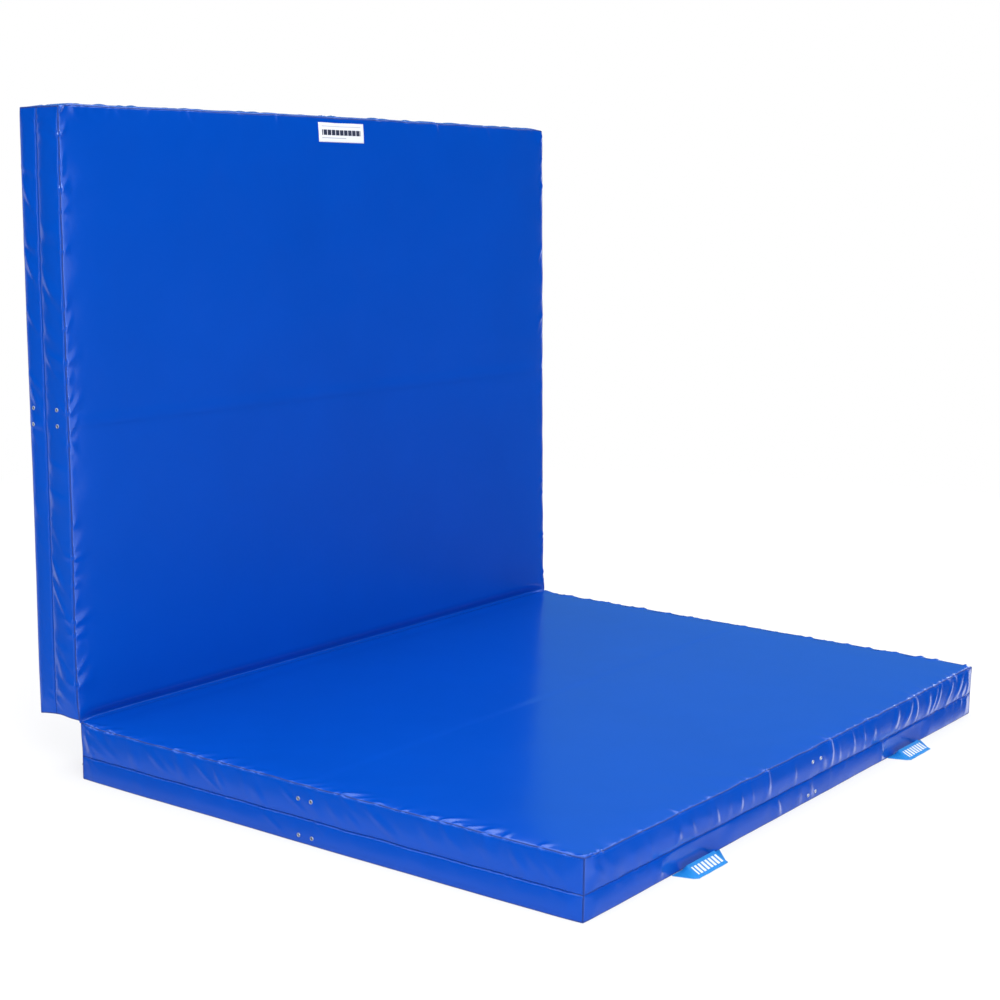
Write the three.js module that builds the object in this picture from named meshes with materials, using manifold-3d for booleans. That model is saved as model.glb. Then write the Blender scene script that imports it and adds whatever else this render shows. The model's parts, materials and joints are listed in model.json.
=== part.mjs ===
// A two-panel folding landing mat for a gym, standing half open.
// Each panel is a block of soft foam in a sewn cover of coated fabric. One width of fabric
// runs on from one panel to the other and is the fold.
// Millimetres, +Z up. X runs along the fold, the base panel lies towards -Y, and the flap
// stands at its +Y edge. The origin is the centre of the base panel's underside.

import * as THREE from "three";
import { mergeVertices } from "three/addons/utils/BufferGeometryUtils.js";
import Module from "manifold-3d";

// Driving dimensions of a panel
const width = 2000; // along the fold
const panelLength = 1500; // away from the fold
const thickness = 140; // from the landing face's seam to the underside's seam
const openingDegrees = 91.36; // between the two landing faces

// The fold's axis stands clear of both panels, so they can lie flat or face to face
const foldGap = 6; // from the axis to each panel's end wall
const foldRise = 8; // from the axis to each panel's landing face

// Cover
const fabric = 1; // thickness of the coated fabric
const clearance = 0.3; // between pieces that are sewn or pressed together
const seamHeight = 60; // the seam between the lower and upper wall bands, above the underside
const weldDistance = 735; // from the end wall to the weld between the two landing sheets
const lipMargin = 1.5; // from the landing sheet's lip to the fold's axis, each way
const foamInset = 5; // from the walls' outer faces to the foam

// Air vents: four eyelets halfway along each wall that has no zip
const ventSpacing = 40;
const upperVentHeight = 107;
const lowerVentHeight = 20;
const ventSides = 12;
const boreRadius = 2.8;
const barrelRadius = 3.3;
const flangeRadius = 6;
const flangeRise = 0.9; // the flange's height off the fabric at its edge
const flangeBevel = 0.8;
const boreRise = 0.7; // its height at the bore
const washerRadius = 5.5;
const washerThickness = 0.8;
const ventHoleRadius = 3.8;

// Closed zip in a slot of the wall next to the fold
const zipSlot = 14; // height of the slot between the bands
const zipLength = 1990;
const zipTapeWidth = 34;
const coilWidth = 6;
const coilRise = 1.1;
const sliderLength = 14;
const sliderPlay = 0.4; // between the slider's cheeks and the coil
const sliderCheek = 1.4;
const cheekGap = 0.2; // from the cheeks' feet to the tapes
const sliderRoof = 0.1; // the channel's inner face, in front of the wall
const sliderStart = 986; // from the middle of the wall to the slider at rest
const sliderFace = 1.8; // the slider's outer face, in front of the wall
const postRadius = 1.5;
const postRoot = 1; // how far the post reaches into the slider
const postHead = 0.9; // the head's overhang
const postHeadBevel = 0.3;
const postTop = 4.9;
const pullThickness = 1.6;
const pullEye = 4; // radius of the tab's round end
const pullHalfWidth = 5;
const pullEndHalf = 3.5;
const pullShoulder = 30; // from the eye to where the tab starts to taper
const pullReach = 38; // from the eye to the tab's end

// Carrying handles of webbing, lying out from the end walls' lower seams
const handleOffset = 550; // from the middle of the wall
const handleReach = 58;
const webbing = 2; // thickness
const strapWidth = 45;
const handleSeamHalf = 112; // half the handle's length at the seam
const handleOuterHalf = 85; // half its length at the grip's outer edge
const gripCorner = 9; // the cut corner where the strap turns
const fingerGapHalf = 65; // half the finger gap's length at the seam
const pivotOut = 1.5; // from the end wall to the handle's swing axis
const basePivotHeight = 1.2; // a base handle lies on the floor
const flapPivotHeight = -1.7; // a flap handle hangs behind the underside

const labelSize = [190, 52];
const labelThickness = 0.6;
const labelInset = 14; // from the flap's free edge
const labelMiddle = 15; // the label sits a little right of the middle

const wasm = await Module();
wasm.setup();

function material(color, roughness, metalness = 0) {
  return new THREE.MeshStandardMaterial({ color, roughness, metalness });
}

const coverBlue = material(0x0a50c8, 0.35);
const foamCream = material(0xe8dfc4, 0.95);
const strapBlue = material(0x1e96e6, 0.7);
const ventMetal = material(0xd8dade, 0.25, 1);
const zipBlack = material(0x111214, 0.6);
const labelWhite = material(0xf2f3f5, 0.5);

function piece(name, geometry, finish) {
  const mesh = new THREE.Mesh(geometry, finish);
  mesh.name = name;
  return mesh;
}

function outline(points) {
  return new THREE.Shape(points.map(([a, b]) => new THREE.Vector2(a, b)));
}

function extrude(shape, depth, curveSegments = ventSides) {
  return new THREE.ExtrudeGeometry(shape, { depth, bevelEnabled: false, curveSegments });
}

function block([x0, x1], [y0, y1], [z0, z1]) {
  return new THREE.BoxGeometry(x1 - x0, y1 - y0, z1 - z0).translate(
    (x0 + x1) / 2,
    (y0 + y1) / 2,
    (z0 + z1) / 2,
  );
}

// A profile drawn in Y and Z, extruded along X about x = 0
function alongX(points, length) {
  const toX = new THREE.Matrix4().makeBasis(
    new THREE.Vector3(0, 1, 0),
    new THREE.Vector3(0, 0, 1),
    new THREE.Vector3(1, 0, 0),
  );
  return extrude(outline(points), length)
    .translate(0, 0, -length / 2)
    .applyMatrix4(toX);
}

// A closed profile of [radius, height] points, turned about Z
function turned(points, sides) {
  const profile = [...points, points[0]].map(([r, h]) => new THREE.Vector2(r, h));
  return new THREE.LatheGeometry(profile, sides).rotateX(Math.PI / 2);
}

function solid(geometry) {
  const bare = geometry.clone();
  bare.deleteAttribute("normal");
  bare.deleteAttribute("uv");
  const merged = mergeVertices(bare, 1e-4);
  return new wasm.Manifold(
    new wasm.Mesh({
      numProp: 3,
      vertProperties: new Float32Array(merged.attributes.position.array),
      triVerts: new Uint32Array(merged.index.array),
    }),
  );
}

function joined(first, second) {
  const result = solid(first).add(solid(second)).getMesh();
  const geometry = new THREE.BufferGeometry();
  geometry.setAttribute("position", new THREE.BufferAttribute(result.vertProperties, 3));
  geometry.setIndex(new THREE.BufferAttribute(result.triVerts, 1));
  geometry.computeVertexNormals();
  return geometry;
}

// A wall's own frame: x along the wall, y up from the underside, z outwards, with z = 0 on its
// outer face. `turn` swings it about the panel's Z from the wall next to the fold.
function wallFrame(x, y, turn) {
  const frame = new THREE.Group();
  frame.position.set(x, y, 0);
  frame.rotation.set(Math.PI / 2, 0, turn, "ZXY");
  return frame;
}

function band(name, length, low, high, ventHeight) {
  const half = length / 2;
  const shape = outline([
    [-half, low],
    [half, low],
    [half, high],
    [-half, high],
  ]);
  if (ventHeight) {
    for (const x of [-ventSpacing / 2, ventSpacing / 2]) {
      const hole = new THREE.Path();
      hole.absarc(x, ventHeight, ventHoleRadius, 0, 2 * Math.PI, true);
      shape.holes.push(hole);
    }
  }
  return piece(name, extrude(shape, fabric).translate(0, 0, -fabric), coverBlue);
}

function vent(name, x, height) {
  const front = clearance;
  const back = -fabric - clearance;
  const ring = turned(
    [
      [boreRadius, back - washerThickness],
      [washerRadius, back - washerThickness],
      [washerRadius, back],
      [barrelRadius, back],
      [barrelRadius, front],
      [flangeRadius, front],
      [flangeRadius - flangeBevel, front + flangeRise],
      [boreRadius, front + boreRise],
    ],
    ventSides,
  );
  return piece(name, ring.translate(x, height, 0), ventMetal);
}

function ventedWall(panel, side, frame, length) {
  const low = fabric + clearance;
  const high = thickness - fabric - clearance;
  const half = clearance / 2;
  frame.add(
    band(`${panel}_lower_band_${side}`, length, low, seamHeight - half, lowerVentHeight),
    band(`${panel}_upper_band_${side}`, length, seamHeight + half, high, upperVentHeight),
  );
  let count = 0;
  for (const height of [upperVentHeight, lowerVentHeight]) {
    for (const x of [-ventSpacing / 2, ventSpacing / 2]) {
      count += 1;
      frame.add(vent(`${panel}_vent_${side}_${count}`, x, height));
    }
  }
  return frame;
}

// Tapes and closed coil in one strip, drawn in the wall's own height and outward distance
function zip(name) {
  const front = -fabric - clearance;
  const back = front - fabric;
  const low = seamHeight - zipTapeWidth / 2;
  const high = seamHeight + zipTapeWidth / 2;
  const strip = alongX(
    [
      [low, back],
      [high, back],
      [high, front],
      [seamHeight + coilWidth / 2, front],
      [seamHeight + coilWidth / 4, front + coilRise],
      [seamHeight - coilWidth / 4, front + coilRise],
      [seamHeight - coilWidth / 2, front],
      [low, front],
    ],
    zipLength,
  );
  return piece(name, strip, zipBlack);
}

// The outer half of a slider: a channel over the coil, and a headed post for the pull
function slider(name) {
  const inner = coilWidth / 2 + sliderPlay;
  const outer = inner + sliderCheek;
  const cheekFoot = cheekGap - fabric - clearance;
  const channel = alongX(
    [
      [-outer, cheekFoot],
      [-inner, cheekFoot],
      [-inner, sliderRoof],
      [inner, sliderRoof],
      [inner, cheekFoot],
      [outer, cheekFoot],
      [outer, sliderFace],
      [-outer, sliderFace],
    ],
    sliderLength,
  );
  const headHeight = sliderFace + clearance + pullThickness + clearance;
  const post = new THREE.LatheGeometry(
    [
      [0, sliderFace - postRoot],
      [postRadius, sliderFace - postRoot],
      [postRadius, headHeight],
      [postRadius + postHead, headHeight],
      [postRadius + postHead - postHeadBevel, postTop],
      [0, postTop],
    ].map(([r, h]) => new THREE.Vector2(r, h)),
    ventSides,
  ).rotateX(Math.PI / 2);
  return piece(name, joined(channel, post), zipBlack);
}

// A tapered tab that hangs from its eye at the origin
function pull(name) {
  const tab = new THREE.Shape();
  tab.absarc(0, 0, pullEye, 0, Math.PI);
  tab.lineTo(-pullHalfWidth, -pullShoulder);
  tab.lineTo(-pullEndHalf, -pullReach);
  tab.lineTo(pullEndHalf, -pullReach);
  tab.lineTo(pullHalfWidth, -pullShoulder);
  tab.closePath();
  const eye = new THREE.Path();
  eye.absarc(0, 0, postRadius + sliderPlay, 0, 2 * Math.PI, true);
  tab.holes.push(eye);
  const flat = extrude(tab, pullThickness).translate(0, 0, sliderFace + clearance);
  return piece(name, flat, zipBlack);
}

function zippedWall(panel, frame, length, sliderX) {
  const slotLow = seamHeight - zipSlot / 2;
  const slotHigh = seamHeight + zipSlot / 2;
  frame.add(
    band(`${panel}_lower_band_hinge`, length, fabric + clearance, slotLow),
    band(`${panel}_upper_band_hinge`, length, slotHigh, thickness - fabric - clearance),
    zip(`${panel}_zip`),
  );
  const carriage = new THREE.Group();
  carriage.position.set(sliderX, seamHeight, 0);
  carriage.add(slider(`${panel}_zip_slider`), pull(`${panel}_zip_pull`));
  frame.add(carriage);
  return frame;
}

// A flat strap whose ends turn back to the seam, drawn with y reaching out from its swing axis
function handle(name) {
  const inner = handleReach - strapWidth;
  const gripHalf = fingerGapHalf - inner / 2;
  const strap = extrude(
    outline([
      [-handleSeamHalf, 0],
      [-fingerGapHalf, 0],
      [-gripHalf, inner],
      [gripHalf, inner],
      [fingerGapHalf, 0],
      [handleSeamHalf, 0],
      [handleOuterHalf + gripCorner / 2, handleReach - gripCorner],
      [handleOuterHalf - gripCorner / 2, handleReach],
      [gripCorner / 2 - handleOuterHalf, handleReach],
      [-handleOuterHalf - gripCorner / 2, handleReach - gripCorner],
    ]),
    webbing,
  );
  return piece(name, strap.translate(0, 0, -webbing / 2), strapBlue);
}

function handles(panel, left, pivotHeight, swing) {
  const pair = new THREE.Group();
  for (const [side, sign] of [["left", left], ["right", -left]]) {
    const pivot = new THREE.Group();
    pivot.position.set(sign * handleOffset, panelLength + pivotOut, pivotHeight);
    pivot.rotation.x = swing;
    pivot.add(handle(`${panel}_handle_${side}`));
    pair.add(pivot);
  }
  return pair;
}

// The landing sheet next to the fold, with a lip that rises towards the fold's axis
function innerSheet(name) {
  const top = thickness;
  const under = thickness - fabric;
  const weld = weldDistance - clearance / 2;
  const lipRun = foldGap - fabric - lipMargin;
  const lipRise = foldRise - lipMargin;
  return piece(
    name,
    alongX(
      [
        [0, under],
        [weld, under],
        [weld, top],
        [0, top],
        [-lipRun, top + lipRise],
        [-lipRun - fabric, top + lipRise - fabric],
      ],
      width,
    ),
    coverBlue,
  );
}

// One panel laid flat: x along the fold, y away from it, z up from the underside.
// `left` is the sign of the panel's own x on the whole mat's -X side.
function panel(name, left, pivotHeight, handleSwing) {
  const half = width / 2;
  const across = [-half, half];
  const endWall = width - 2 * (fabric + clearance);
  const quarter = Math.PI / 2;
  const flat = new THREE.Group();
  flat.position.set(0, foldGap, -(thickness + foldRise));
  flat.add(
    piece(
      `${name}_foam_core`,
      block(
        [foamInset - half, half - foamInset],
        [foamInset, panelLength - foamInset],
        [fabric + clearance, thickness - fabric - clearance],
      ),
      foamCream,
    ),
    innerSheet(`${name}_top_sheet_inner`),
    piece(
      `${name}_top_sheet_outer`,
      block(
        across,
        [weldDistance + clearance / 2, panelLength],
        [thickness - fabric, thickness],
      ),
      coverBlue,
    ),
    piece(`${name}_bottom_sheet`, block(across, [0, panelLength], [0, fabric]), coverBlue),
    ventedWall(
      name,
      "left",
      wallFrame(left * half, panelLength / 2, left * quarter),
      panelLength,
    ),
    ventedWall(
      name,
      "right",
      wallFrame(-left * half, panelLength / 2, -left * quarter),
      panelLength,
    ),
    ventedWall(name, "free", wallFrame(0, panelLength, Math.PI), endWall),
    zippedWall(name, wallFrame(0, 0, 0), endWall, sliderStart),
    handles(name, left, pivotHeight, handleSwing),
  );
  return flat;
}

const foldRadians = THREE.MathUtils.degToRad(180 - openingDegrees);
const hangingPlumb = -Math.PI / 2 - foldRadians;

const base = new THREE.Group();
base.rotation.z = Math.PI;
base.add(panel("base", 1, basePivotHeight, 0));

const flap = new THREE.Group();
flap.rotation.x = foldRadians;
const flapPanel = panel("flap", -1, flapPivotHeight, hangingPlumb);
const labelTop = panelLength - labelInset;
flapPanel.add(
  piece(
    "flap_label",
    block(
      [labelMiddle - labelSize[0] / 2, labelMiddle + labelSize[0] / 2],
      [labelTop - labelSize[1], labelTop],
      [thickness + clearance, thickness + clearance + labelThickness],
    ),
    labelWhite,
  ),
);
flap.add(flapPanel);

const mat = new THREE.Group();
mat.position.set(0, panelLength / 2 + foldGap, thickness + foldRise);
mat.add(base, flap);

export default mat;
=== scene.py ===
import json
import math

import bpy
import numpy as np
from mathutils import Matrix, Vector


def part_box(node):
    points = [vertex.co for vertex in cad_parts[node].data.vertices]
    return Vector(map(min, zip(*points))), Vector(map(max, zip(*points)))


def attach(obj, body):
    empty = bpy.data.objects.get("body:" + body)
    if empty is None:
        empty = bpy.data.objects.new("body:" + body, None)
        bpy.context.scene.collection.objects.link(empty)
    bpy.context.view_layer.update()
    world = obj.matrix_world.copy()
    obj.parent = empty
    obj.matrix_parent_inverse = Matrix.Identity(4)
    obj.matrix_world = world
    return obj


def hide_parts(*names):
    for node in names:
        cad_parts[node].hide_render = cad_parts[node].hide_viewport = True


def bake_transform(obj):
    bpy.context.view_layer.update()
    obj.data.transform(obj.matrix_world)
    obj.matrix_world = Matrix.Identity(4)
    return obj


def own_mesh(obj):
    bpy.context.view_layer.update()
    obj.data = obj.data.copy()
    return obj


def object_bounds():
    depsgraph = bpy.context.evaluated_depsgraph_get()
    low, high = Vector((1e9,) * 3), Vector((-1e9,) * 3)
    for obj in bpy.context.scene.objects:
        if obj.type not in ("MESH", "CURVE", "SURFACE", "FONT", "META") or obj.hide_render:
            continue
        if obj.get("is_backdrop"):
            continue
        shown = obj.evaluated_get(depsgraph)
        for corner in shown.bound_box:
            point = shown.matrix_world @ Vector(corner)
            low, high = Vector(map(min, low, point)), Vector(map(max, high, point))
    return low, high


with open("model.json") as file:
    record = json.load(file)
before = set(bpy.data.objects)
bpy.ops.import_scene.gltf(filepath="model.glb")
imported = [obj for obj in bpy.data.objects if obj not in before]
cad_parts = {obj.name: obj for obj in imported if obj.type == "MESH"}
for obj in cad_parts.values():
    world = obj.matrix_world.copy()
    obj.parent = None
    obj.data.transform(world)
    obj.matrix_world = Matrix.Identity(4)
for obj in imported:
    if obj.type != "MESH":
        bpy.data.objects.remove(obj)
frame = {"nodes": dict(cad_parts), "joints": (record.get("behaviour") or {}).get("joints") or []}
cadLow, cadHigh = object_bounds()
print("frame loaded")

# Everything below works in a panel's own directions, in metres: x along the fold,
# v away from the fold along the panel, w up from its underside to its landing face.


def jointNamed(name):
    return next(j for j in frame["joints"] if j["name"] == name)


foldJoint = jointNamed("fold")
foldY, foldZ = foldJoint["pos_m"][1:]
undersideLow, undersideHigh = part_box("base_bottom_sheet")
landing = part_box("base_top_sheet_outer")
half = undersideHigh.x
length = undersideHigh.y - undersideLow.y
thick = landing[1].z
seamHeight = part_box("base_upper_band_left")[0].z
weldLine = undersideHigh.y - landing[1].y
foldGap = foldY - undersideHigh.y
foldRise = foldZ - thick
turn = -math.radians(foldJoint["range_deg"][0])
handleMiddle = abs(jointNamed("base_handle_right_swing")["pos_m"][0])
panels = ("base", "flap")
walls = ("left", "right", "free", "hinge")
outwards = {
    "top": (0, 0, 1), "underside": (0, 0, -1), "left": (-1, 0, 0), "right": (1, 0, 0),
    "free": (0, 1, 0), "hinge": (0, -1, 0),
}


def toWorld(panel, points):
    x, v, w = np.asarray(points, float).reshape(-1, 3).T
    out = foldGap + v
    up = w - thick - foldRise
    if panel == "base":
        return np.stack([x, foldY - out, foldZ + up], 1)
    c, s = math.cos(turn), math.sin(turn)
    return np.stack([x, foldY + out * c - up * s, foldZ + out * s + up * c], 1)


def toPanel(panel, points):
    x, y, z = np.asarray(points, float).reshape(-1, 3).T
    back, up = y - foldY, z - foldZ
    if panel == "base":
        return np.stack([x, -back - foldGap, up + thick + foldRise], 1)
    c, s = math.cos(turn), math.sin(turn)
    return np.stack([x, back * c + up * s - foldGap, up * c - back * s + thick + foldRise], 1)


def panelBox(panel, node):
    mesh = frame["nodes"][node].data
    points = toPanel(panel, [corner.co for corner in mesh.vertices])
    return points.min(0), points.max(0)


def direction(panel, local):
    points = toWorld(panel, [[0, 0, 0], local])
    return points[1] - points[0]


# How the cover lies: crowned over the foam, bowed at the walls, puckered along its seams

cover = {
    "crown": 0.0062,  # how far the landing face stands above its seams
    "crownReach": 0.042,
    "highest": 0.0066,  # closed face to face, the two landing faces just clear each other
    "bow": {"base": 0.009, "flap": 0.005},  # how far a wall bows out halfway along
    "upperPuff": 0.0052,
    "lowerPuff": 0.0042,
    "hingePuff": 0.0015,
    "hingeBulge": {"base": 0.003, "flap": 0.004},
    "undersidePuff": 0.0022,
    "rollDepth": 0.0024,  # an edge turns in by this much at its seam
    "rollWidth": 0.0021,
    "step": 0.005,
    "wander": 0.0014,  # how far a seam wanders off its line
    "cornerPull": 0.0015,
    "hingeWiden": 0.009,  # the cover spreads sideways where no corner seam holds it
    "foldPull": (0.0015, 0.0062),  # how far the fold draws the cover's edge towards its axis
    "foldReach": 0.028,
    "flapRoll": 0.014,  # how deep the standing flap's face turns under at the fold
    "rollReach": 0.017,
    "droop": 0.008,  # how far the flap's back edge hangs below its hinge wall
    "lap": 0.0012,  # the outer landing sheet's edge lies on the inner one
    "handleCalm": 0.92,  # how much flatter the free wall lies beside its handles
}
seeds = {"base": 11, "flap": 47}
wallSeeds = {"left": 1, "right": 2, "free": 3, "hinge": 4}
seamPuckers = {
    "top": {"tall": 0.0044, "tail": (0.018, 0.070), "wide": (0.008, 0.022), "gap": (0.018, 0.055)},
    "middle": {"tall": 0.0022, "tail": (0.010, 0.035), "wide": (0.004, 0.009), "gap": (0.012, 0.042)},
}
slants = {"left": 0.75, "right": -0.75, "free": 0.35, "hinge": 0.2}


def wave(seed, u, low=3.0, high=22.0, count=9):
    rng = np.random.default_rng(seed)
    total = np.zeros_like(u)
    for _ in range(count):
        rate, phase, size = rng.uniform(low, high), rng.uniform(0, 2 * math.pi), rng.normal()
        total += size * np.sin(rate * u * math.pi + phase) * math.sqrt(low / rate)
    return total / math.sqrt(count)


def valueNoise(seed, a, b, scale):
    table = np.random.default_rng(seed).uniform(-1, 1, (64, 64))
    a, b = np.asarray(a) / scale, np.asarray(b) / scale
    i, j = np.floor(a).astype(int), np.floor(b).astype(int)
    f, g = a - i, b - j
    f, g = f * f * (3 - 2 * f), g * g * (3 - 2 * g)
    near = table[i % 64, j % 64] * (1 - f) + table[(i + 1) % 64, j % 64] * f
    far = table[i % 64, (j + 1) % 64] * (1 - f) + table[(i + 1) % 64, (j + 1) % 64] * f
    return near * (1 - g) + far * g


def tent(q, power=1.6):
    return np.clip(1.18 - np.sqrt(q * q + 0.0324), 0, 1) ** power


def smooth(q):
    q = np.clip(q, 0, 1)
    return q * q * (3 - 2 * q)


def reachOf(side):
    return (0.0, length) if side in ("left", "right") else (-half, half)


# Short folds that start at a seam's stitches, lean, widen and die out
def puckers(panel, side, seam, u, depth):
    spec = seamPuckers[seam]
    rng = np.random.default_rng(seeds[panel] * 100 + wallSeeds[side] * 10 + len(seam))
    start, end = reachOf(side)
    total = np.zeros_like(u)
    place = start + 0.012
    while place < end - 0.012:
        size = rng.uniform(0.35, 1.0) ** 1.7
        tail = rng.uniform(*spec["tail"]) * (0.5 + 0.5 * size)
        lean = rng.normal(slants[side], 0.45)
        wide = rng.uniform(*spec["wide"])
        fromCorner = min(place - start, end - place)
        size *= 1 + 1.1 * math.exp(-fromCorner / 0.08)
        if rng.uniform() < 0.8:
            near = (np.abs(u - place) < 0.14) & (depth < tail) & (depth >= 0)
            d, a = depth[near], u[near] - place
            spread = wide * (0.55 + 1.5 * d / tail)
            total[near] += spec["tall"] * size * (1 - d / tail) ** 1.25 * tent((a - lean * d) / spread)
        place += rng.uniform(*spec["gap"]) * (0.45 + 0.55 * min(1, fromCorner / 0.15))
    return total


# Slack in a wall: slanting folds that run from seam to seam
def slackFolds(panel, side, u, w):
    rng = np.random.default_rng(seeds[panel] * 7 + wallSeeds[side] * 131)
    start, end = reachOf(side)
    total = np.zeros_like(u)
    place = start - 0.05
    while place < end + 0.05:
        size = rng.uniform(0.3, 1.0)
        slope = slants[side] * rng.uniform(0.2, 2.2) * (-1 if side == "free" and place > 0.4 else 1)
        wide = rng.uniform(0.010, 0.028)
        middle = rng.choice([0.03, 0.1, 0.1, 0.085])
        tall = rng.uniform(0.024, 0.052)
        lopsided = rng.uniform(-0.5, 0.5)
        a = (u - place + slope * (w - middle)) / wide
        a = a * (1 + lopsided * np.sign(a))
        total += size * np.exp(-(((w - middle) / tall) ** 2)) * np.clip(1 - a * a, 0, 1) ** 1.5
        place += rng.uniform(0.03, 0.085)
    return 0.0032 * total


# Moves a point of the box-shaped cover to where bowing, seams, corners and the fold take it
def warp(panel, x, v, w):
    number = seeds[panel] * 1000
    fromSide, fromFree = half - np.abs(x), length - v
    sideBow = cover["bow"][panel] * np.clip(np.sin(math.pi * np.clip(v / length, 0, 1)), 0, 1) ** 0.8
    sideBow += cover["hingeWiden"] * np.exp(-((v / 0.35) ** 2))
    freeBow = cover["bow"][panel] * np.clip(np.cos(math.pi * np.clip(x / half, -1, 1) / 2), 0, 1) ** 0.8
    toSide = np.clip(1 - fromSide / 0.3, 0, 1) ** 2
    toFree = np.clip(1 - fromFree / 0.3, 0, 1) ** 2
    nearSide = np.exp(-((fromSide / 0.03) ** 2))
    nearFree = np.exp(-((fromFree / 0.03) ** 2))
    corner = np.exp(-(fromSide + fromFree) / 0.014)
    sign = np.sign(x)
    x2 = x + sign * (sideBow * toSide - cover["cornerPull"] * corner)
    v2 = v + freeBow * toFree * smooth(w / 0.11) - cover["cornerPull"] * corner
    w2 = w.astype(float)
    for k, (level, strength) in enumerate(((thick, 1.0), (seamHeight, 0.8), (0.0, 0.35))):
        nearLevel = np.exp(-(((w - level) / 0.02) ** 2))
        for j, (close, u) in enumerate(((nearSide, v + 7 * (x > 0)), (nearFree, x))):
            amount = cover["wander"] * strength * nearLevel * close
            outward = amount * wave(number + 10 * k + j, u)
            if j == 0:
                x2 += sign * outward
            else:
                v2 += outward
            if level > 0:
                w2 += amount * wave(number + 10 * k + j + 5, u)
    atFold = np.exp(-((v / cover["foldReach"]) ** 2)) * np.exp(-(((thick - w) / 0.03) ** 2))
    v2 -= cover["foldPull"][0] * atFold
    v2 -= cover["hingeBulge"][panel] * np.exp(-((v / 0.05) ** 2)) * smooth((w - 0.07) / 0.045)
    w2 += cover["foldPull"][1] * atFold
    if panel == "flap":
        under = np.exp(-((v / cover["rollReach"]) ** 2)) * np.exp(-(((thick - w) / 0.02) ** 2))
        w2 -= cover["flapRoll"] * under * (1 - np.exp(-np.clip(fromSide, 0, None) / 0.03))
        v2 -= cover["droop"] * np.exp(-((v / 0.12) ** 2)) * (1 - w / thick) ** 3
    return x2, v2, w2


def landingHeight(panel, x, v):
    toSide, toFree = np.clip(half - np.abs(x), 0, None), np.clip(length - v, 0, None)
    reach = cover["crownReach"]
    crown = (1 - np.exp(-toSide / reach)) * (1 - np.exp(-toFree / reach))
    crown *= 1 - np.exp(-np.clip(v, 0, None) / 0.03)
    number = seeds[panel] + 300
    rough = 0.0005 * valueNoise(number, x + 5, v + 5, 0.31)
    rough += 0.0003 * valueNoise(number + 1, x + 5, v + 5, 0.11)
    across, alongDiagonal = (x * np.sign(-x) - v + 5) / 1.414, (x * np.sign(-x) + v + 5) / 1.414
    nearEdge = np.exp(-np.minimum(toSide, toFree) / 0.10)
    rough += 0.0011 * nearEdge * valueNoise(number + 2, across, alongDiagonal / 4, 0.045)
    height = cover["crown"] * crown + rough * crown
    edge = puckers(panel, "left", "top", v, half + x) + puckers(panel, "right", "top", v, half - x)
    calm = 1 - np.exp(-((x / 0.118) ** 6)) if panel == "flap" else 1.0
    edge += 0.45 * puckers(panel, "free", "top", x, toFree) * calm
    edge *= 1.35 * smooth(v / 0.05)
    rise = 0.35 + 0.65 * smooth(np.minimum(toSide, toFree) / 0.006)
    return np.minimum(height + edge * rise, cover["highest"])


def wallOut(panel, side, u, w):
    upper = w >= seamHeight
    bottom = np.where(upper, seamHeight, 0.0)
    tall = np.where(upper, thick - seamHeight, seamHeight)
    arch = np.clip(np.sin(math.pi * np.clip((w - bottom) / tall, 0, 1)), 0, 1)
    start, end = reachOf(side)
    ends = smooth(np.minimum(u - start, end - u) / 0.045)  # neighbouring walls meet at the corner
    if side == "hinge":
        return ends * (cover["hingePuff"] * arch**0.8 + 0.16 * slackFolds(panel, side, u, w) * arch)
    puff = np.where(upper, cover["upperPuff"], cover["lowerPuff"])
    out = puff * arch**0.7
    out += slackFolds(panel, side, u, w) * (0.3 + 0.7 * arch**0.5)
    out += (0.45 if side == "free" else 0.8) * puckers(panel, side, "top", u, thick - w)
    out += puckers(panel, side, "middle", u, np.where(upper, w - seamHeight, seamHeight - w))
    if side == "free":
        byHandle = 1 - smooth((np.abs(np.abs(u) - handleMiddle) - 0.10) / 0.06)
        out *= 1 - cover["handleCalm"] * byHandle * (1 - smooth((w - 0.045) / 0.03))
    return ends * out


def coverPoint(panel, face, a, b, sink=0.0):
    a, b = np.asarray(a, float).ravel(), np.asarray(b, float).ravel()
    if face == "top":
        x2, v2, w2 = warp(panel, a, b, np.full_like(a, thick))
        return np.stack([x2, v2, w2 + landingHeight(panel, a, b) - sink], 1)
    if face == "underside":
        x2, v2, w2 = warp(panel, a, b, np.zeros_like(a))
        puff = 0.0
        if panel == "flap":
            near = np.minimum(np.minimum(half - np.abs(a), b), length - b)
            puff = cover["undersidePuff"] * smooth(np.clip(near, 0, None) / 0.22)
        return np.stack([x2, v2, w2 - puff + sink], 1)
    out = wallOut(panel, face, a, b) - sink
    if face in ("left", "right"):
        sign = outwards[face][0]
        x2, v2, w2 = warp(panel, np.full_like(a, sign * half), a, b)
        return np.stack([x2 + sign * out, v2, w2], 1)
    sign = outwards[face][1]
    x2, v2, w2 = warp(panel, a, np.full_like(a, length if face == "free" else 0.0), b)
    return np.stack([x2, v2 + sign * out, w2], 1)


# Mesh building


def graded(low, high, step, rolled=(True, True)):
    edge = np.array([0, 0.0007, 0.0016, 0.0028, 0.0045])
    count = max(2, round((high - low - 0.015) / step))
    inner = np.linspace(low + 0.0075, high - 0.0075, count + 1)
    parts = [low + edge if rolled[0] else [low], inner, high - edge[::-1] if rolled[1] else [high]]
    return np.concatenate(parts)


def withCuts(line, cuts):
    kept = [k for k in line if min(abs(k - c) for c in cuts) > 0.0024]
    return np.array(sorted([*kept, *cuts]))


def rolled(distance):
    return cover["rollDepth"] * np.exp(-((distance / cover["rollWidth"]) ** 2))


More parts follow.
